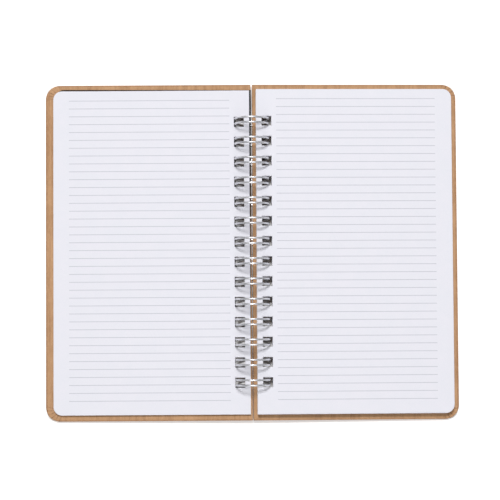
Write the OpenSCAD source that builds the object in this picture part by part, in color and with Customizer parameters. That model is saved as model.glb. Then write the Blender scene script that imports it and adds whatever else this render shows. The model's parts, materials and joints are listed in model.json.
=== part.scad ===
// Hard-cover notebook bound with one twin-loop wire, lying open on a table.
// Origin: on the table, under the axis of the wire's loops, half way along the
// spine. +X points to the back cover, +Y to the head of the page, +Z up.

/* [Covers] */
// Width of a cover, from its spine edge to its fore edge
cover_w = 130.3; // [90:0.1:180]
// Height of a cover, from tail to head
cover_h = 213; // [160:1:300]
// Radius of a cover's two outer corners
cover_corner_r = 9; // [3:0.5:18]
// Thickness of the grey board inside a cover
board_t = 2; // [1.2:0.1:3]
// Thickness of the kraft paper wrapped round the board
wrap_t = 0.25; // [0.15:0.05:0.4]
// Width of the kraft margin turned in over the board's inner face
turn_in = 15; // [14:1:25]
// Gap between the two covers' spine edges
spine_gap = 0.6; // [0.5:0.1:3]

/* [Linings] */
// Thickness of the lining pasted over the turned-in margin
lining_t = 0.2; // [0.1:0.05:0.3]
// Inset of the lining from a cover's fore edge, head and tail
lining_inset = 7; // [5:0.5:11]
// Inset of the lining from a cover's spine edge
lining_spine_inset = 2; // [1:0.5:3]

/* [Flyleaves] */
// Thickness of the black flyleaf between a cover and its sheets
flyleaf_t = 0.2; // [0.15:0.05:0.3]
// Turn by which the front flyleaf lies askew on its loose loops
flyleaf_skew = 0.35; // [0:0.05:0.35]
// How far the front flyleaf has slid towards the spine
flyleaf_slip = 0.6; // [0:0.1:0.7]

/* [Sheets] */
// Sheets lying on the front cover, the top one included
front_sheets = 16; // [6:1:24]
// Sheets lying on the back cover, the top one included
back_sheets = 44; // [12:1:52]
// Thickness of a sheet
sheet_t = 0.11; // [0.08:0.01:0.14]
// Air between two sheets
sheet_air = 0.02; // [0.01:0.01:0.04]
// Radius of a sheet's two outer corners
sheet_corner_r = 5.4; // [2:0.2:10]
// Overhang of a cover beyond the sheets at its fore edge
fore_margin = 3.8; // [2:0.1:8]
// Overhang of a cover beyond the sheets at the head and at the tail
head_margin = 4; // [2:0.1:8]
// How far neighbouring sheets are out of line
stagger = 0.14; // [0:0.02:0.2]
// How far the top sheet on the back cover has slid towards the head
top_slip = 0.45; // [0:0.05:0.6]

/* [Binding wire] */
// Diameter of the loops, at the middle of the wire
ring_d = 20.8; // [17:0.1:26]
// Diameter of the wire
wire_d = 1.25; // [1:0.05:1.5]
// Distance between the two wires of a double loop
twin_gap = 3.3; // [2.7:0.1:4]
// Distance from one double loop to the next
loop_pitch = 12.7; // [10.5:0.1:15.3]
// Bend radius where a loop joins the straight back of the wire
back_bend_r = 1.2; // [1:0.1:1.5]

/* [Punched holes] */
// Paper left between a turned sheet's spine edge and its holes
hole_margin = 3.3; // [2.9:0.05:3.8]
// Space between a double loop and the holes' head and tail sides
hole_side = 1; // [0.8:0.05:1.2]
// Least margin from the first hole to the head and from the last to the tail
end_margin = 15; // [12:0.5:20]

/* [Fits] */
// Gap between the loops and the spine strips that they pass under
strip_clear = 0.15; // [0.1:0.05:0.3]
// Gap between the loops and the outer ends of the holes
hole_clear = 0.08; // [0.05:0.01:0.2]
// Distance from the wire's axis to the turned sheets' spine edges
front_edge = 1.4; // [1.2:0.05:2]
// Distance from the wire's axis to the unturned sheets' spine edges
back_edge = 2.7; // [2.2:0.05:3.2]
// Glue line between board, wrap and lining
glue = 0.02; // [0.01:0.01:0.05]

/* [Hidden] */
FRONT = "front";
BACK = "back";

// Sheets are grouped in bundles of neighbours
FRONT_BUNDLES = 4;
BACK_BUNDLES = 10;

// Flats that stand for the quarter circle at a sheet's corner
CORNER_FLATS = 8;
WIRE_FN = 24;
ROUND_FN = 96;

wire_r = wire_d / 2;
ring_r = ring_d / 2;
axis_z = ring_r + wire_r;

spine_edge = spine_gap / 2;
reach = spine_edge + cover_w;
sheet_w = reach - fore_margin - back_edge;
sheet_h = cover_h - 2 * head_margin;
sheet_step = sheet_t + sheet_air;

// A sheet's hole reaches just past the loops where the turned sheets lie. The
// covers' holes are longer, and open over the holes of both piles.
hole_in = front_edge + hole_margin;
hole_x = axis_z + hole_clear - hole_in;
cover_hole_x = hole_x + back_edge - front_edge;
hole_y = twin_gap + wire_d + 2 * hole_side;
loops = floor((sheet_h - 2 * end_margin) / loop_pitch) + 1;

// Heights above a cover's outer face
board_z = wrap_t + glue;
turn_in_z = board_z + board_t + glue;
inner_face = turn_in_z + wrap_t;
lining_z = inner_face + glue;
flyleaf_z = lining_z + lining_t + sheet_air;
pile_z = flyleaf_z + flyleaf_t + sheet_air;

// The loops lie on the table and pass under the covers' spine strips, so each
// cover leans on its fore edge, just clear of the loops at its holes.
strip_r = ring_r - wire_r - strip_clear;
hole_lift = axis_z - sqrt(strip_r * strip_r - hole_in * hole_in);
lean = asin(hole_lift / (reach - hole_in));

// Everything below is drawn as the back half, lying flat, with the fore edge
// at +X. This leans it on its lower fore edge, and mirrors a front piece.
module half(side)
    mirror([side == FRONT ? 1 : 0, 0, 0])
        translate([reach, 0, 0])
            rotate([0, lean, 0])
                translate([-reach, 0, 0])
                    children();

module punched_holes(from, length)
    for (i = [0:loops - 1])
        translate([from, (i - (loops - 1) / 2) * loop_pitch - hole_y / 2])
            square([length, hole_y]);

// Covers -----------------------------------------------------------------

// A rectangle between two distances from the axis, with two round corners at
// the fore edge
module cover_outline(near, far, height, r) {
    translate([near, -height / 2])
        square([far - r - near, height]);
    translate([far - r, r - height / 2])
        square([r, height - 2 * r]);
    for (end = [0, 1])
        mirror([0, end])
            translate([far - r, height / 2 - r])
                intersection() {
                    circle(r = r, $fn = ROUND_FN);
                    square(r);
                }
}

// A cover's outline drawn in by the same amount all round
module inset_outline(inset)
    cover_outline(spine_edge + inset, reach - inset, cover_h - 2 * inset,
                  cover_corner_r - inset);

// The opening that the turned-in margins leave, less a gap all round
module window(gap)
    translate([spine_edge + turn_in + gap, turn_in + gap - cover_h / 2])
        square([cover_w - 2 * (turn_in + gap), cover_h - 2 * (turn_in + gap)]);

module board(side)
    color([0.55, 0.53, 0.50])
        half(side)
            translate([0, 0, board_z])
                linear_extrude(board_t)
                    difference() {
                        inset_outline(wrap_t + glue);
                        punched_holes(hole_in, cover_hole_x);
                    }

module wrap(side)
    color([0.76, 0.60, 0.46])
        half(side)
            difference() {
                linear_extrude(inner_face)
                    difference() {
                        inset_outline(0);
                        punched_holes(hole_in, cover_hole_x);
                    }
                translate([0, 0, wrap_t])
                    linear_extrude(turn_in_z - wrap_t)
                        inset_outline(wrap_t);
                translate([0, 0, board_z + board_t])
                    linear_extrude(inner_face)
                        window(0);
            }

module lining(side)
    color([0.80, 0.72, 0.62])
        half(side)
            difference() {
                union() {
                    translate([0, 0, lining_z])
                        linear_extrude(lining_t)
                            cover_outline(
                                spine_edge + lining_spine_inset,
                                reach - lining_inset,
                                cover_h - 2 * lining_inset,
                                max(cover_corner_r - lining_inset, 1));
                    translate([0, 0, turn_in_z])
                        linear_extrude(inner_face + lining_t - turn_in_z)
                            window(glue);
                }
                linear_extrude(2 * pile_z)
                    punched_holes(hole_in, cover_hole_x);
            }

// Sheets -----------------------------------------------------------------

function corner_points(x, y, from) =
    [for (i = [0:CORNER_FLATS])
        let (a = from + 90 * i / CORNER_FLATS)
            [x + sheet_corner_r * cos(a), y + sheet_corner_r * sin(a)]];

function sheet_points(near) =
    let (x = near + sheet_w - sheet_corner_r,
         y = sheet_h / 2 - sheet_corner_r)
    concat([[near, -sheet_h / 2]],
           corner_points(x, -y, -90),
           corner_points(x, y, 0),
           [[near, sheet_h / 2]]);

// Each sheet hangs loosely on the wire, a little out of line with the rest.
function drift(i) = stagger / 2 * [sin(137.5 * i), cos(101.3 * i)];

// The outline of a sheet in line with the wire
module sheet_outline(side)
    let (edge = side == FRONT ? front_edge : back_edge)
        difference() {
            polygon(sheet_points(edge));
            punched_holes(edge + hole_margin, hole_x);
        }

// One sheet, counted up from the flyleaf
module sheet(side, number)
    half(side)
        translate([0, 0, pile_z + (number - 1) * sheet_step])
            linear_extrude(sheet_t)
                translate(drift(number))
                    sheet_outline(side);

// The front flyleaf has slid and turned a little, and the back one hasn't.
module flyleaf(side)
    color([0.20, 0.20, 0.22])
        half(side)
            translate([0, 0, flyleaf_z])
                linear_extrude(flyleaf_t)
                    rotate(side == FRONT ? flyleaf_skew : 0)
                        translate([side == FRONT ? -flyleaf_slip : 0, 0])
                            sheet_outline(side);

// The sheets of one bundle. Bundle 1 lies on the flyleaf, and the leaf on top
// of the pile belongs to none.
module bundle(side, number)
    let (under = (side == FRONT ? front_sheets : back_sheets) - 1,
         bundles = side == FRONT ? FRONT_BUNDLES : BACK_BUNDLES,
         first = floor(under * (number - 1) / bundles) + 1,
         last = floor(under * number / bundles))
    color([0.93, 0.93, 0.95])
        for (i = [first:last])
            sheet(side, i);

module leaf(side)
    color([0.96, 0.96, 0.98])
        translate([0, side == FRONT ? 0 : top_slip, 0])
            sheet(side, side == FRONT ? front_sheets : back_sheets);

// Binding wire -----------------------------------------------------------

// A round bend of the wire in the XY plane, centred on the origin, from +X
// round to angle
module bend(r, angle)
    rotate_extrude(angle = angle, $fn = ROUND_FN)
        translate([r, 0])
            circle(r = wire_r, $fn = WIRE_FN);

// A straight of the wire along +Y from the origin
module straight(length)
    rotate([-90, 0, 0])
        cylinder(r = wire_r, h = length, $fn = WIRE_FN);

// A loop is open at its foot, from its lowest point back to where it starts.
// The sine and cosine of that angle are those of a 44-117-125 triangle.
open_sin = 0.352;
open_cos = 0.936;

module loop_opening()
    linear_extrude(4 * wire_d, center = true)
        polygon([[0, 0], [0, -2 * ring_d],
                 -2 * ring_d * [open_sin, open_cos]]);

// One wire of a double loop
module loop_wire()
    translate([0, 0, axis_z])
        rotate([90, 0, 0])
            difference() {
                bend(ring_r, 360);
                loop_opening();
            }

// Where a loop starts, with +X along the wire
module at_loop_start()
    translate([0, 0, axis_z] - ring_r * [open_sin, 0, open_cos])
        rotate([0, asin(open_sin), 0])
            children();

// The quarter bend from a loop into the straight back, towards +Y
module back_bend()
    translate([0, back_bend_r, 0])
        rotate([0, 0, -90])
            bend(back_bend_r, 90);

// Two loops, joined by the round tip that ends under the spine
module double_loop() {
    for (end = [-1, 1])
        translate([0, end * twin_gap / 2, 0])
            loop_wire();
    translate([0, 0, wire_r])
        rotate([0, 0, 90])
            bend(twin_gap / 2, 180);
}

// The straight back from one double loop to the next, with its two bends
module back()
    at_loop_start() {
        translate([0, twin_gap / 2, 0])
            back_bend();
        translate([back_bend_r, twin_gap / 2 + back_bend_r, 0])
            straight(loop_pitch - twin_gap - 2 * back_bend_r);
        translate([0, loop_pitch - twin_gap / 2, 0])
            mirror([0, 1, 0])
                back_bend();
    }

module twin_loop_wire()
    color([0.80, 0.80, 0.82])
        for (i = [0:loops - 1])
            translate([0, (i - (loops - 1) / 2) * loop_pitch, 0]) {
                double_loop();
                if (i < loops - 1)
                    back();
            }

twin_loop_wire();
board(FRONT);  // front_board
wrap(FRONT);  // front_wrap
lining(FRONT);  // front_lining
board(BACK);  // back_board
wrap(BACK);  // back_wrap
lining(BACK);  // back_lining
flyleaf(FRONT);  // front_flyleaf
flyleaf(BACK);  // back_flyleaf
leaf(FRONT);  // left_leaf
leaf(BACK);  // right_leaf
for (i = [1:FRONT_BUNDLES])
    bundle(FRONT, i);
for (i = [1:BACK_BUNDLES])
    bundle(BACK, i);
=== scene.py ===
import json
import math

import bmesh
import bpy
from mathutils import Matrix, Vector


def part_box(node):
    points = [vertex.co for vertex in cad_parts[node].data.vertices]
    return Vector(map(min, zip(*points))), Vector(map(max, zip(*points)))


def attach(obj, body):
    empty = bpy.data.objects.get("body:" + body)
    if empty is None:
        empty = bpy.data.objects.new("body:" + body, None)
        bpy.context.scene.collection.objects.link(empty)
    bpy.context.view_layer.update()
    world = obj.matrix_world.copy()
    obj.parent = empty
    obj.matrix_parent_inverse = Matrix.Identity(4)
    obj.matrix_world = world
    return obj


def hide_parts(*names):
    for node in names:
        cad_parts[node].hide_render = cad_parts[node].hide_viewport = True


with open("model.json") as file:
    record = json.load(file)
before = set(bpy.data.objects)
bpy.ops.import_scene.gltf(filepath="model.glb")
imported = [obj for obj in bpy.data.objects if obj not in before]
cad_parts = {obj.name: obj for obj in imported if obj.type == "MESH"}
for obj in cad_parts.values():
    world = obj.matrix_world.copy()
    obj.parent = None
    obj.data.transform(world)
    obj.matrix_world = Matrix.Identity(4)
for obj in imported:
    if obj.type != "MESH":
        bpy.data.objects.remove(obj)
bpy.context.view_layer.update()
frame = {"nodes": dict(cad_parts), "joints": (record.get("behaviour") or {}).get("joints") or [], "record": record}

# Sizes, in metres ---------------------------------------------------------------------

MM = 0.001

WIRE_R = 0.625 * MM
TWIN_GAP = 3.3 * MM
LOOP_PITCH = 12.7 * MM
BACK_BEND_R = 1.2 * MM
OPENING = math.asin(0.352)  # from a loop's lowest point back to where it starts

SPINE_EDGE = 0.3 * MM
HOLE_MARGIN = 3.3 * MM
HOLE_SIDE = 1 * MM
HOLE_CLEAR = 0.08 * MM
END_MARGIN = 15 * MM

BOARD_T = 2.0 * MM
WRAP_T = 0.25 * MM
GLUE = 0.02 * MM
TURN_IN = 15 * MM
COVER_CORNER_R = 9 * MM
COVER_T = BOARD_T + 2 * (WRAP_T + GLUE)
EDGE_ROUND = 0.45 * MM
LINING_T = 0.2 * MM

SHEET_T = 0.11 * MM
SHEET_AIR = 0.02 * MM
FLYLEAF_T = 0.2 * MM
SHEET_CORNER_R = 5.4 * MM
FORE_MARGIN = 3.8 * MM
HEAD_MARGIN = 4 * MM
STAGGER = 0.14 * MM

# What differs between the two halves of the open notebook: how far its sheets start
# from the wire, how many there are, and how far the top one has slid to the head
SHEET_EDGE = {"front": 1.4 * MM, "back": 2.7 * MM}
SHEETS = {"front": 16, "back": 44}
TOP_SLIP = {"front": 0.0, "back": 0.45 * MM}
HALF_BODY = {"front": "front_half", "back": "back_half"}

RULE_STEP = 5 * MM
RULE_COUNT = 39
RULE_W = 0.4 * MM
RULE_HEAD = 6.2 * MM
RULE_X = {"front": (14.1 * MM, 115.8 * MM), "back": (15.5 * MM, 116.5 * MM)}

# Places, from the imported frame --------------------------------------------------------

mounts = {m["name"]: m for m in frame["record"]["mounts"]}
page_normal = mounts["right_page"]["axis"]
LEAN = math.atan2(page_normal[0], page_normal[2])
AXIS_Z = frame["joints"][0]["pos_m"][2]
RING_R = AXIS_Z - WIRE_R
HOLE_IN = SHEET_EDGE["front"] + HOLE_MARGIN
HOLE_X = AXIS_Z + HOLE_CLEAR - HOLE_IN
HOLE_Y = TWIN_GAP + 2 * WIRE_R + 2 * HOLE_SIDE
COVER_HOLE_X = HOLE_X + SHEET_EDGE["back"] - SHEET_EDGE["front"]

back_low, back_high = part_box("back_wrap")
COVER_H = back_high.y - back_low.y
REACH = back_high.x - COVER_T * math.sin(LEAN)
SHEET_H = COVER_H - 2 * HEAD_MARGIN
SHEET_W = REACH - FORE_MARGIN - SHEET_EDGE["back"]
LOOPS = math.floor((SHEET_H - 2 * END_MARGIN) / LOOP_PITCH) + 1
LOOP_Y = [(i - (LOOPS - 1) / 2) * LOOP_PITCH for i in range(LOOPS)]
PILE_Z = COVER_T + GLUE + LINING_T + FLYLEAF_T + 2 * SHEET_AIR


def half_matrix(side):
    """From the back half drawn flat, with its fore edge at +X, to where a half lies."""
    pivot = Matrix.Translation((REACH, 0, 0))
    lean = pivot @ Matrix.Rotation(LEAN, 4, "Y") @ pivot.inverted()
    return Matrix.Scale(-1, 4, (1, 0, 0)) @ lean if side == "front" else lean


# Meshes -------------------------------------------------------------------------------

SMOOTH_ANGLE = math.radians(32)


def new_object(name, bm):
    """An object made from bm, smooth but for its sharp edges."""
    bmesh.ops.recalc_face_normals(bm, faces=bm.faces)
    mesh = bpy.data.meshes.new(name)
    bm.to_mesh(mesh)
    bm.free()
    mesh.shade_smooth()
    mesh.set_sharp_from_angle(angle=SMOOTH_ANGLE)
    obj = bpy.data.objects.new(name, mesh)
    bpy.context.scene.collection.objects.link(obj)
    return obj


def combine(obj, cutter, operation):
    """Adds cutter to obj or takes it away, and removes cutter."""
    modifier = obj.modifiers.new("boolean", "BOOLEAN")
    modifier.operation = operation
    modifier.solver = "EXACT"
    modifier.object = cutter
    graph = bpy.context.evaluated_depsgraph_get()
    mesh = bpy.data.meshes.new_from_object(obj.evaluated_get(graph))
    obj.modifiers.clear()
    obj.data = mesh
    bpy.data.objects.remove(cutter)


def sweep(bm, path, radius, sides):
    """A tube with closed ends along path."""
    tangents = []
    for i in range(len(path)):
        before, after = path[max(i - 1, 0)], path[min(i + 1, len(path) - 1)]
        tangents.append((after - before).normalized())
    normal = tangents[0].orthogonal().normalized()
    rings = []
    for point, tangent in zip(path, tangents):
        normal = (normal - tangent * normal.dot(tangent)).normalized()
        side = tangent.cross(normal)
        ring = []
        for k in range(sides):
            a = 2 * math.pi * k / sides
            ring.append(bm.verts.new(point + radius * (math.cos(a) * normal + math.sin(a) * side)))
        rings.append(ring)
    for one, two in zip(rings, rings[1:]):
        for k in range(sides):
            n = (k + 1) % sides
            bm.faces.new((one[k], one[n], two[n], two[k]))
    bm.faces.new(rings[0])
    bm.faces.new(rings[-1])


# Binding wire -------------------------------------------------------------------------

LOOP_STEPS = 72
BEND_STEPS = 10
WIRE_SIDES = 14


def loop_points(y, backwards):
    """One wire of a double loop, from its lowest point round to where it starts."""
    turn = 2 * math.pi - OPENING
    angles = [turn * i / LOOP_STEPS for i in range(LOOP_STEPS + 1)]
    if backwards:
        angles.reverse()
    return [Vector((RING_R * math.sin(a), y, AXIS_Z - RING_R * math.cos(a))) for a in angles]


def tip_points(y):
    """The round tip that joins the two wires of a double loop, under the spine."""
    r = TWIN_GAP / 2
    steps = [math.pi * i / BEND_STEPS for i in range(1, BEND_STEPS)]
    return [Vector((-r * math.sin(a), y - r * math.cos(a), WIRE_R)) for a in steps]


def back_points(y):
    """The straight back from the end of one double loop to the start of the next."""
    start = Vector((-RING_R * math.sin(OPENING), y, AXIS_Z - RING_R * math.cos(OPENING)))
    along = Vector((math.cos(OPENING), 0, -math.sin(OPENING)))
    up = Vector((0, 1, 0))
    r, length = BACK_BEND_R, LOOP_PITCH - TWIN_GAP
    points = []
    for i in range(1, BEND_STEPS + 1):
        a = math.pi / 2 * i / BEND_STEPS
        points.append(start + r * (math.sin(a) * along + (1 - math.cos(a)) * up))
    mirrored = [start + along * (p - start).dot(along) + up * (length - (p - start).y) for p in points]
    return points + mirrored[::-1]


def make_wire():
    """The whole binding, one wire through every double loop in turn."""
    path = []
    for i, y in enumerate(LOOP_Y):
        path += loop_points(y - TWIN_GAP / 2, backwards=True)
        path += tip_points(y)
        path += loop_points(y + TWIN_GAP / 2, backwards=False)
        if i < LOOPS - 1:
            path += back_points(y + TWIN_GAP / 2)
    bm = bmesh.new()
    sweep(bm, path, WIRE_R, WIRE_SIDES)
    return new_object("binding_wire", bm)


# Covers -------------------------------------------------------------------------------

ROUND_STEPS = 10
EDGE_STEPS = 4
# How far the covers' spine edges stand from their CAD line at head and tail: the two
# covers lie a little askew on their loose loops, so the gap between them narrows
SKEW_HEAD = 0.14 * MM
SKEW_TAIL = -0.2 * MM


def rounded_outline(near, far, top, r, steps):
    """A rectangle with round corners at its fore edge. near is x at its tail and head."""
    points = [(near[0], -top)]
    for sign, first in ((-1, -math.pi / 2), (1, 0)):
        for i in range(steps + 1):
            a = first + math.pi / 2 * i / steps
            points.append((far - r + r * math.cos(a), sign * (top - r) + r * math.sin(a)))
    return points + [(near[1], top)]


def cover_outline(inset):
    """The outline of a cover, drawn in by inset."""
    near = SPINE_EDGE + inset
    far, top, r = REACH - inset, COVER_H / 2 - inset, COVER_CORNER_R - inset
    return rounded_outline((near + SKEW_TAIL, near + SKEW_HEAD), far, top, r, ROUND_STEPS)


def hole_loops(length):
    """The holes' outlines, each length long across the cover or sheet."""
    near, far, half = HOLE_IN, HOLE_IN + length, HOLE_Y / 2
    return [[(near, y - half), (far, y - half), (far, y + half), (near, y + half)] for y in LOOP_Y]


def add_wall(bm, loops):
    """Joins loops of the same number of points, and returns the first and last one's edges."""
    rows = [[bm.verts.new(p) for p in loop] for loop in loops]
    count = len(rows[0])
    for one, two in zip(rows, rows[1:]):
        for k in range(count):
            n = (k + 1) % count
            bm.faces.new((one[k], one[n], two[n], two[k]))
    return [[bm.edges.get((row[k], row[(k + 1) % count])) for k in range(count)]
            for row in (rows[0], rows[-1])]


def slab(name, outline, levels, holes=()):
    """A plate whose edge follows levels, (inset, height) from its lower face to its upper."""
    bm = bmesh.new()
    low, high = add_wall(bm, [[(x, y, z) for x, y in outline(inset)] for inset, z in levels])
    for hole in holes:
        walls = add_wall(bm, [[(x, y, z) for x, y in hole] for z in (levels[0][1], levels[-1][1])])
        low += walls[0]
        high += walls[1]
    for edges in (low, high):
        bmesh.ops.triangle_fill(bm, use_beauty=True, edges=edges)
    return new_object(name, bm)


def rounded_levels(thickness, r):
    """The profile of a folded paper edge: a quarter round at each face."""
    angles = [math.pi / 2 * i / EDGE_STEPS for i in range(EDGE_STEPS + 1)]
    lower = [(r - r * math.sin(a), r - r * math.cos(a)) for a in angles]
    upper = [(inset, thickness - z) for inset, z in reversed(lower)]
    return lower + upper


PLEATS = 5
PLEAT_LENGTH = 6.4 * MM
PLEAT_RISE = 0.22 * MM
PLEAT_SINK = 0.1 * MM
PLEAT_SHARE = 0.92  # the part of its step that a pleat fills
# How high a pleat stands at each corner, as shares of PLEAT_RISE: inner and outer end of
# its lapped side, then outer and inner end of its open side
PLEAT_RISES = (0.2, 0.25, 1.0, 0.5)


def corner_pleats(end):
    """The folds of the kraft paper gathered round one corner, each lapping over the next."""
    bm = bmesh.new()
    cx, cy = REACH - COVER_CORNER_R, end * (COVER_H / 2 - COVER_CORNER_R)
    step = math.pi / 2 / PLEATS
    rim, root = COVER_CORNER_R - EDGE_ROUND, COVER_CORNER_R - PLEAT_LENGTH
    for i in range(PLEATS):
        a, b = i * step, (i + PLEAT_SHARE) * step
        corners = []
        for radius, angle in ((root, a), (rim, a), (rim, b), (root, b)):
            corners.append((cx + radius * math.cos(angle), cy + end * radius * math.sin(angle)))
        low = [bm.verts.new((x, y, COVER_T - PLEAT_SINK)) for x, y in corners]
        high = [bm.verts.new((x, y, COVER_T + share * PLEAT_RISE))
                for (x, y), share in zip(corners, PLEAT_RISES)]
        bm.faces.new(low)
        bm.faces.new(high)
        for k in range(4):
            n = (k + 1) % 4
            bm.faces.new((low[k], low[n], high[n], high[k]))
    return new_object("pleats", bm)


def window_outline(inset):
    """The opening that the turned-in kraft margins leave."""
    near, far = SPINE_EDGE + TURN_IN + inset, REACH - TURN_IN - inset
    top = COVER_H / 2 - TURN_IN - inset
    return [(near, -top), (far, -top), (far, top), (near, top)]


def make_wrap(side):
    """The kraft paper round a cover, with a room for the board and a window inside."""
    wrap = slab(side + "_cover_wrap", cover_outline, rounded_levels(COVER_T, EDGE_ROUND),
                hole_loops(COVER_HOLE_X))
    for end in (-1, 1):
        combine(wrap, corner_pleats(end), "UNION")
    cavity = slab("cavity", cover_outline, [(WRAP_T, WRAP_T), (WRAP_T, COVER_T - WRAP_T)])
    combine(wrap, cavity, "DIFFERENCE")
    window = slab("window", window_outline, [(0, COVER_T - 2 * WRAP_T), (0, COVER_T + 2 * WRAP_T)])
    combine(wrap, window, "DIFFERENCE")
    wrap.data.transform(half_matrix(side))
    if side == "front":
        wrap.data.flip_normals()
    wrap.data.shade_smooth()
    wrap.data.set_sharp_from_angle(angle=SMOOTH_ANGLE)
    return wrap


# Pages --------------------------------------------------------------------------------

PAGE_COLUMNS = 44
PAGE_ROWS_BETWEEN = 2
CORNER_COLUMNS = 10
# Kept low enough for the two pages to clear each other in the closed notebook
CURL = {"front": 0.1 * MM, "back": 0.07 * MM}
CURL_FROM = 0.45  # where the curl starts, as a share of the cover's reach
CURL_POWER = 2.5
MIDDLE_CURL = 0.35  # the curl half way along the fore edge, as a share of the corners'
CORNER_POWER = 4
WAVE = 0.015 * MM
WAVE_TURNS = 9  # radians of the wave from head to tail
WAVE_START = {"front": 1.0, "back": 2.6}
# Turns, in degrees, by which each sheet's place in the pile differs from the last one's
DRIFT_TURN_X = 137.5
DRIFT_TURN_Y = 101.3


def page_columns(side):
    """Distances from the wire at which a page's mesh has a line."""
    near = SHEET_EDGE[side]
    far = near + SHEET_W
    hole = near + HOLE_MARGIN
    arc = far - SHEET_CORNER_R
    first, last = hole + HOLE_X, arc
    columns = [near, hole] + [hole + HOLE_X * i / 3 for i in (1, 2)]
    columns += [first + (last - first) * i / PAGE_COLUMNS for i in range(PAGE_COLUMNS + 1)]
    columns += [arc + SHEET_CORNER_R * math.sin(math.pi / 2 * i / CORNER_COLUMNS)
                for i in range(1, CORNER_COLUMNS + 1)]
    return columns


def page_rows():
    """Heights on the page at which its mesh has a line, with the holes' ends among them."""
    marks = [-SHEET_H / 2, -SHEET_H / 2 + SHEET_CORNER_R / 2, SHEET_CORNER_R - SHEET_H / 2]
    for y in LOOP_Y:
        marks += [y - HOLE_Y / 2, y + HOLE_Y / 2]
    marks += [SHEET_H / 2 - SHEET_CORNER_R, SHEET_H / 2 - SHEET_CORNER_R / 2, SHEET_H / 2]
    rows = [marks[0]]
    for a, b in zip(marks, marks[1:]):
        rows += [a + (b - a) * i / PAGE_ROWS_BETWEEN for i in range(1, PAGE_ROWS_BETWEEN + 1)]
    return rows


def rise(side, x, y):
    """How far a page lifts off the pile: its outer corners curl up and its edge waves."""
    out = max(0.0, (x - CURL_FROM * REACH) / ((1 - CURL_FROM) * REACH))
    edge = abs(y) / (SHEET_H / 2)
    along = MIDDLE_CURL + (1 - MIDDLE_CURL) * edge ** CORNER_POWER
    wave = WAVE * out * (1 + math.sin(y / SHEET_H * WAVE_TURNS + WAVE_START[side]))
    return CURL[side] * out ** CURL_POWER * along + wave


def make_page(side):
    """The top leaf of a pile, as a fine grid of cells with its holes left out."""
    columns, rows = page_columns(side), page_rows()
    near, far = columns[0], columns[-1]
    hole = near + HOLE_MARGIN
    arc, straight = far - SHEET_CORNER_R, SHEET_H / 2 - SHEET_CORNER_R
    number = SHEETS[side]
    z = PILE_Z + (number - 1) * (SHEET_T + SHEET_AIR)
    drift = (STAGGER / 2 * math.sin(math.radians(DRIFT_TURN_X * number)),
             STAGGER / 2 * math.cos(math.radians(DRIFT_TURN_Y * number)) + TOP_SLIP[side])

    def point(x, y, height):
        if x > arc and abs(y) > straight:
            share = math.sqrt(max(0.0, 1 - ((x - arc) / SHEET_CORNER_R) ** 2))
            y = math.copysign(straight + (abs(y) - straight) * share, y)
        return Vector((x + drift[0], y + drift[1], z + height + rise(side, x, y)))

    def in_hole(x, y):
        return hole < x < hole + HOLE_X and any(abs(y - centre) < HOLE_Y / 2 for centre in LOOP_Y)

    bm = bmesh.new()
    layers = [[[bm.verts.new(point(x, y, height)) for y in rows] for x in columns]
              for height in (0, SHEET_T)]
    cells = set()
    for i in range(len(columns) - 1):
        for j in range(len(rows) - 1):
            middle = ((columns[i] + columns[i + 1]) / 2, (rows[j] + rows[j + 1]) / 2)
            if not in_hole(*middle):
                cells.add((i, j))
    for i, j in sorted(cells):
        for layer in layers:
            bm.faces.new((layer[i][j], layer[i + 1][j], layer[i + 1][j + 1], layer[i][j + 1]))
        sides = {(-1, 0): ((i, j), (i, j + 1)), (1, 0): ((i + 1, j), (i + 1, j + 1)),
                 (0, -1): ((i, j), (i + 1, j)), (0, 1): ((i, j + 1), (i + 1, j + 1))}
        for (di, dj), (p, q) in sides.items():
            if (i + di, j + dj) not in cells:
                low, high = layers
                bm.faces.new((low[p[0]][p[1]], low[q[0]][q[1]], high[q[0]][q[1]], high[p[0]][p[1]]))
    bmesh.ops.remove_doubles(bm, verts=bm.verts, dist=SHEET_T / 50)
    bmesh.ops.delete(bm, geom=[v for v in bm.verts if not v.link_faces], context="VERTS")
    bmesh.ops.transform(bm, matrix=half_matrix(side), verts=bm.verts)
    return new_object(("left" if side == "front" else "right") + "_page", bm)


# How the black flyleaf lies under the left pile: askew, slid to the spine and the head, so its edges peek out as
# painted shade beside the pile
FLYLEAF_TURN = math.radians(0.35)
FLYLEAF_SLIP = 0.6 * MM
FLYLEAF_HEAD_SLIP = 0.5 * MM
CORNER_STEPS = 8


def flyleaf_outline(inset):
    """The outline of a left sheet, drawn in by inset."""
    near, far = SHEET_EDGE["front"] + inset, SHEET_EDGE["front"] + SHEET_W - inset
    top, r = SHEET_H / 2 - inset, SHEET_CORNER_R - inset
    return rounded_outline((near, near), far, top, r, CORNER_STEPS)


def make_flyleaf():
    """The black sheet under the left pile, with softened edges."""
    soft = FLYLEAF_T / 4
    levels = [(soft, 0), (0, soft), (0, FLYLEAF_T - soft), (soft, FLYLEAF_T)]
    flyleaf = slab("left_flyleaf", flyleaf_outline, levels, hole_loops(HOLE_X))
    lie = Matrix.Rotation(FLYLEAF_TURN, 4, "Z") @ Matrix.Translation((-FLYLEAF_SLIP, 0, 0))
    place = Matrix.Translation((0, FLYLEAF_HEAD_SLIP, COVER_T + GLUE + LINING_T + SHEET_AIR))
    flyleaf.data.transform(half_matrix("front") @ place @ lie)
    flyleaf.data.flip_normals()
    return flyleaf


# Materials ----------------------------------------------------------------------------

def linear(red, green, blue):
    """An sRGB colour from 0 to 255 as linear RGBA."""
    channels = [c / 255 for c in (red, green, blue)]
    return tuple(c / 12.92 if c <= 0.04045 else ((c + 0.055) / 1.055) ** 2.4 for c in channels) + (1,)


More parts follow.
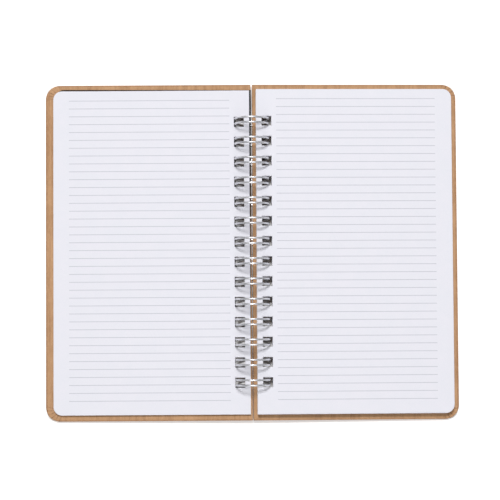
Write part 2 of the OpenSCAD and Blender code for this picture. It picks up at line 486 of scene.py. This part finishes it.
class Nodes:
    """Short names for the nodes of one material."""

    def __init__(self, name):
        self.material = bpy.data.materials.new(name)
        self.material.use_nodes = True
        self.tree = self.material.node_tree
        self.shader = self.tree.nodes["Principled BSDF"]
        self.place = self.tree.nodes.new("ShaderNodeTexCoord").outputs["Object"]

    def connect(self, source, socket):
        if isinstance(source, bpy.types.NodeSocket):
            self.tree.links.new(source, socket)
        else:
            socket.default_value = source

    def math(self, operation, a, b=0.0):
        node = self.tree.nodes.new("ShaderNodeMath")
        node.operation = operation
        self.connect(a, node.inputs[0])
        self.connect(b, node.inputs[1])
        return node.outputs[0]

    def plan(self):
        """X and Y of the point."""
        node = self.tree.nodes.new("ShaderNodeSeparateXYZ")
        self.connect(self.place, node.inputs[0])
        return node.outputs["X"], node.outputs["Y"]

    def stretched(self, scale):
        node = self.tree.nodes.new("ShaderNodeMapping")
        self.connect(self.place, node.inputs["Vector"])
        node.inputs["Scale"].default_value = scale
        return node.outputs[0]

    def noise(self, size, detail=4.0, roughness=0.6, stretch=(1, 1, 1)):
        """Noise whose grains are about size across, along X."""
        node = self.tree.nodes.new("ShaderNodeTexNoise")
        self.connect(self.stretched(stretch), node.inputs["Vector"])
        node.inputs["Scale"].default_value = 1 / size
        node.inputs["Detail"].default_value = detail
        node.inputs["Roughness"].default_value = roughness
        return node.outputs["Fac"]

    def ramp(self, value, low, high, low_out=0.0, high_out=1.0):
        node = self.tree.nodes.new("ShaderNodeMapRange")
        node.interpolation_type = "SMOOTHSTEP"
        for socket, number in zip(("From Min", "From Max", "To Min", "To Max"),
                                  (low, high, low_out, high_out)):
            node.inputs[socket].default_value = number
        self.connect(value, node.inputs["Value"])
        return node.outputs["Result"]

    def mix(self, share, one, two):
        node = self.tree.nodes.new("ShaderNodeMix")
        node.data_type = "RGBA"
        self.connect(share, node.inputs["Factor"])
        self.connect(one, node.inputs["A"])
        self.connect(two, node.inputs["B"])
        return node.outputs["Result"]

    def bump(self, height, depth):
        node = self.tree.nodes.new("ShaderNodeBump")
        node.inputs["Distance"].default_value = depth
        self.connect(height, node.inputs["Height"])
        self.connect(node.outputs["Normal"], self.shader.inputs["Normal"])

    def finish(self, colour, roughness, specular=0.3, metallic=0.0):
        self.connect(colour, self.shader.inputs["Base Color"])
        self.connect(roughness, self.shader.inputs["Roughness"])
        self.shader.inputs["Specular IOR Level"].default_value = specular
        self.shader.inputs["Metallic"].default_value = metallic
        return self.material


INK_EDGE = 0.65  # half of a line's width with its soft edge, as a share of RULE_W


def ruled_paper(name, side, slip=0.0):
    """White writing paper with fine grey lines, over the part of the page that is ruled."""
    n = Nodes(name)
    x, y = n.plan()
    first = SHEET_H / 2 - RULE_HEAD + slip
    count = n.math("DIVIDE", n.math("SUBTRACT", first, y), RULE_STEP)
    off = n.math("ABSOLUTE", n.math("SUBTRACT", count, n.math("ROUND", count)))
    ink = n.ramp(off, 0.5 * RULE_W / RULE_STEP, INK_EDGE * RULE_W / RULE_STEP, 1.0, 0.0)
    out = n.math("ABSOLUTE", x)
    for value, low, high in ((count, -0.5, RULE_COUNT - 0.5), (out, *RULE_X[side])):
        ink = n.math("MULTIPLY", ink, n.math("GREATER_THAN", value, low))
        ink = n.math("MULTIPLY", ink, n.math("LESS_THAN", value, high))
    faint = n.ramp(n.noise(0.6 * MM, 2.0), 0.2, 0.75, 0.72, 1.0)
    ink = n.math("MULTIPLY", ink, faint)
    fibres = n.noise(0.35 * MM, 5.0, 0.7, (1, 0.45, 1))
    cloud = n.noise(9 * MM, 3.0)
    paper = n.mix(n.ramp(cloud, 0.3, 0.7), linear(222, 222, 229), linear(224, 223, 230))
    paper = n.mix(n.ramp(fibres, 0.35, 0.75, 0.0, 0.35), paper, linear(210, 211, 220))
    colour = n.mix(ink, paper, linear(188, 188, 197))
    n.bump(fibres, 0.012 * MM)
    return n.finish(colour, n.ramp(fibres, 0.2, 0.8, 0.78, 0.92), specular=0.25)


# Painted shade in the creases between the corner pleats: its width, fade and slant
CREASE_SHADE_W = 0.11  # as a share of the angle from one pleat to the next
CREASE_SHADE_FADE = 0.5 * MM  # how softly the creases end beside the round corner
CREASE_SHADE_SLANT = 0.9  # how many pleats a crease runs past, from a pleat's root to the rim


def painted_crease_shade(n, x, y):
    """Painted shade along the creases between two pleats of the kraft paper, at the covers' outer corners."""
    u = n.math("SUBTRACT", n.math("ABSOLUTE", x), REACH - COVER_CORNER_R)
    v = n.math("SUBTRACT", n.math("ABSOLUTE", y), COVER_H / 2 - COVER_CORNER_R)
    turn = n.math("DIVIDE", n.math("ARCTAN2", v, u), math.pi / 2 / PLEATS)
    radius = n.math("SQRT", n.math("ADD", n.math("MULTIPLY", u, u), n.math("MULTIPLY", v, v)))
    turn = n.math("ADD", turn, n.math("MULTIPLY", radius, CREASE_SHADE_SLANT / PLEAT_LENGTH))
    off = n.math("ABSOLUTE", n.math("SUBTRACT", turn, n.math("ROUND", turn)))
    crease_shade = n.ramp(off, 0.3 * CREASE_SHADE_W, CREASE_SHADE_W, 1.0, 0.0)
    inside = n.math("MINIMUM", u, v)
    crease_shade = n.math("MULTIPLY", crease_shade, n.ramp(inside, -CREASE_SHADE_FADE, CREASE_SHADE_FADE))
    return n.math("MULTIPLY", crease_shade, n.ramp(n.noise(2 * MM, 2.0), 0.35, 0.65, 0.0, 1.0))


# How far the painted rim shade reaches in from a cover's fore edge, from its head and tail, and
# how far in it is darkest
RIM_SHADE_SIDE = 1.6 * MM
RIM_SHADE_END = 1.3 * MM
RIM_SHADE_FULL = 0.2 * MM


def kraft_paper():
    """Brown kraft paper: fibres along the sheet, dark and light flecks, painted shade in patches along the rim and
    in the corner creases.
    """
    n = Nodes("kraft_paper")
    x, y = n.plan()
    fibres = n.noise(0.5 * MM, 6.0, 0.7, (1, 0.16, 1))
    streaks = n.noise(2.6 * MM, 3.0, 0.5, (1, 0.05, 1))
    cloud = n.noise(14 * MM, 3.0)
    flecks = n.noise(0.42 * MM, 1.0, 0.3)
    colour = n.mix(n.ramp(cloud, 0.3, 0.7), linear(176, 136, 99), linear(190, 149, 111))
    colour = n.mix(n.ramp(streaks, 0.4, 0.7, 0.0, 0.75), colour, linear(158, 118, 84))
    colour = n.mix(n.ramp(fibres, 0.4, 0.75, 0.0, 0.6), colour, linear(203, 164, 128))
    colour = n.mix(n.ramp(flecks, 0.7, 0.76, 0.0, 0.6), colour, linear(128, 88, 60))
    colour = n.mix(n.ramp(flecks, 0.27, 0.22, 0.0, 0.5), colour, linear(226, 196, 166))
    # painted shade: the paper darkens in patches towards the fore edge, head and tail, over the rounded rim
    edge = n.ramp(n.math("ABSOLUTE", x), REACH - RIM_SHADE_SIDE, REACH - RIM_SHADE_FULL)
    head = n.ramp(n.math("ABSOLUTE", y), COVER_H / 2 - RIM_SHADE_END, COVER_H / 2 - RIM_SHADE_FULL)
    rim_shade = n.math("MAXIMUM", edge, head)
    rim_shade_patches = n.math("MULTIPLY", rim_shade, n.ramp(n.noise(1.8 * MM, 4.0), 0.3, 0.7, 0.25, 0.75))
    colour = n.mix(rim_shade_patches, colour, linear(140, 99, 66))
    # painted shade: dark lines in the creases between the pleats at the outer corners
    colour = n.mix(painted_crease_shade(n, x, y), colour, linear(96, 62, 40))
    relief = n.math("ADD", fibres, n.math("MULTIPLY", streaks, 0.6))
    n.bump(relief, 0.05 * MM)
    return n.finish(colour, n.ramp(fibres, 0.2, 0.8, 0.68, 0.88), specular=0.3)


def grey_board():
    """Recycled grey board, with the layers of its pulp showing at cut edges."""
    n = Nodes("grey_board")
    fibres = n.noise(0.4 * MM, 5.0, 0.7)
    layers = n.noise(0.9 * MM, 2.0, 0.5, (0.2, 0.2, 3))
    colour = n.mix(n.ramp(fibres, 0.3, 0.7), linear(118, 110, 101), linear(146, 138, 128))
    colour = n.mix(n.ramp(layers, 0.5, 0.7, 0.0, 0.5), colour, linear(94, 86, 78))
    n.bump(fibres, 0.06 * MM)
    return n.finish(colour, 0.92, specular=0.2)


def lining_paper():
    """Plain buff lining paper, pasted over the turned-in margin."""
    n = Nodes("lining_paper")
    fibres = n.noise(0.5 * MM, 5.0, 0.7, (1, 0.3, 1))
    cloud = n.noise(11 * MM, 3.0)
    colour = n.mix(n.ramp(cloud, 0.3, 0.7), linear(190, 158, 126), linear(202, 170, 139))
    colour = n.mix(n.ramp(fibres, 0.4, 0.75, 0.0, 0.4), colour, linear(172, 138, 106))
    n.bump(fibres, 0.03 * MM)
    return n.finish(colour, 0.86, specular=0.25)


def black_paper():
    """Black flyleaf paper, with fibres a shade lighter; its black is painted shade where the flyleaf peeks out
    beside the left pile.
    """
    n = Nodes("black_paper")
    fibres = n.noise(0.4 * MM, 5.0, 0.7, (1, 0.4, 1))
    # painted shade: where this black sheet peeks out beside the left pile, at the spine and the head, it shows as
    # dark lines in place of shade
    colour = n.mix(n.ramp(fibres, 0.45, 0.8), linear(27, 26, 30), linear(48, 47, 53))
    n.bump(fibres, 0.02 * MM)
    return n.finish(colour, n.ramp(fibres, 0.2, 0.8, 0.6, 0.8), specular=0.3)


def nickel_wire():
    """Bright plated wire, with faint marks drawn round it by the forming tools."""
    n = Nodes("nickel_wire")
    marks = n.noise(0.5 * MM, 3.0, 0.6)
    cloud = n.noise(5 * MM, 2.0)
    colour = n.mix(n.ramp(cloud, 0.3, 0.7), linear(206, 207, 211), linear(228, 228, 231))
    n.bump(marks, 0.006 * MM)
    return n.finish(colour, n.ramp(marks, 0.3, 0.7, 0.3, 0.42), 0.5, 1.0)


TABLE_GLOW = 0.25
GLOW_FADE = 1 * MM


def table_top():
    """A plain pale surface that glows a little, but for the part under the open notebook."""
    n = Nodes("table_top")
    grain = n.noise(1.5 * MM, 2.0)
    colour = n.mix(n.ramp(grain, 0.3, 0.7), (0.955, 0.955, 0.955, 1), (0.97, 0.97, 0.97, 1))
    n.shader.inputs["Emission Color"].default_value = (1, 1, 1, 1)
    x, y = n.plan()
    beside = n.math("MAXIMUM", n.math("SUBTRACT", n.math("ABSOLUTE", x), REACH),
                    n.math("SUBTRACT", n.math("ABSOLUTE", y), COVER_H / 2))
    n.connect(n.ramp(beside, -GLOW_FADE, 0.0, 0.0, TABLE_GLOW), n.shader.inputs["Emission Strength"])
    return n.finish(colour, 0.9, specular=0.0)


def cover_with(obj, material):
    obj.data.materials.clear()
    obj.data.materials.append(material)


# The object ---------------------------------------------------------------------------

kraft = kraft_paper()
papers = {side: ruled_paper(side + "_sheets_paper", side) for side in SHEETS}
node_finish = {"board": grey_board(), "lining": lining_paper(), "flyleaf": black_paper(), "wrap": kraft}
for name, node in frame["nodes"].items():
    kind = name.split("_")[1]
    if kind in node_finish:
        cover_with(node, node_finish[kind])
    elif kind == "sheets":
        cover_with(node, papers["front" if name.startswith("left") else "back"])

for side in SHEETS:
    wrap = make_wrap(side)
    cover_with(wrap, kraft)
    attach(wrap, HALF_BODY[side])
    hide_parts(side + "_wrap")

    leaf = "left_leaf" if side == "front" else "right_leaf"
    page = make_page(side)
    cover_with(page, ruled_paper(leaf + "_paper", side, TOP_SLIP[side]))
    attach(page, leaf)
    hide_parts(leaf)

flyleaf = make_flyleaf()
# the flyleaf's black edges beside the left pile are painted shade
cover_with(flyleaf, node_finish["flyleaf"])
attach(flyleaf, "front_half")
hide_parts("front_flyleaf")

wire = make_wire()
cover_with(wire, nickel_wire())
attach(wire, "binding")
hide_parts("twin_loop_wire")

# Stage, light and camera --------------------------------------------------------------

FLOOR_W = 8.0
FLOOR_GAP = 0.05 * MM
WORLD_STRENGTH = 0.41

# The camera stands above the notebook and a little to its tail, as the photographer's did
CAMERA_PLACE = (-0.0307, -0.0606, 1.200)
CAMERA_TURN = (0.0518, -0.0242, -0.0063)
CAMERA_LENS = 136.0
SENSOR_W = 36.0

bm = bmesh.new()
bmesh.ops.create_grid(bm, x_segments=1, y_segments=1, size=FLOOR_W / 2)
floor = new_object("floor", bm)
floor.location.z = -FLOOR_GAP
cover_with(floor, table_top())


def add_area(name, towards, distance, size, power):
    """A square soft light that looks at the notebook from a direction."""
    data = bpy.data.lights.new(name, "AREA")
    data.size = size
    data.energy = power
    light = bpy.data.objects.new(name, data)
    back = Vector(towards).normalized()
    light.location = back * distance
    light.rotation_euler = back.to_track_quat("Z", "Y").to_euler()
    bpy.context.scene.collection.objects.link(light)


add_area("key_light", towards=(-0.05, 0.35, 0.94), distance=2.2, size=0.42, power=33.5)
add_area("fill_light", towards=(0.0, -0.55, 0.8), distance=0.8, size=0.5, power=0.85)

world = bpy.data.worlds.new("studio")
world.use_nodes = True
bpy.context.scene.world = world
background = world.node_tree.nodes["Background"]
background.inputs["Color"].default_value = (1.0, 1.0, 1.0, 1)
background.inputs["Strength"].default_value = WORLD_STRENGTH

camera = bpy.data.objects.new("camera", bpy.data.cameras.new("camera"))
camera.data.lens = CAMERA_LENS
camera.data.sensor_width = SENSOR_W
camera.location = CAMERA_PLACE
camera.rotation_euler = CAMERA_TURN
bpy.context.scene.collection.objects.link(camera)
bpy.context.scene.camera = camera
bpy.context.scene.view_settings.view_transform = "Standard"
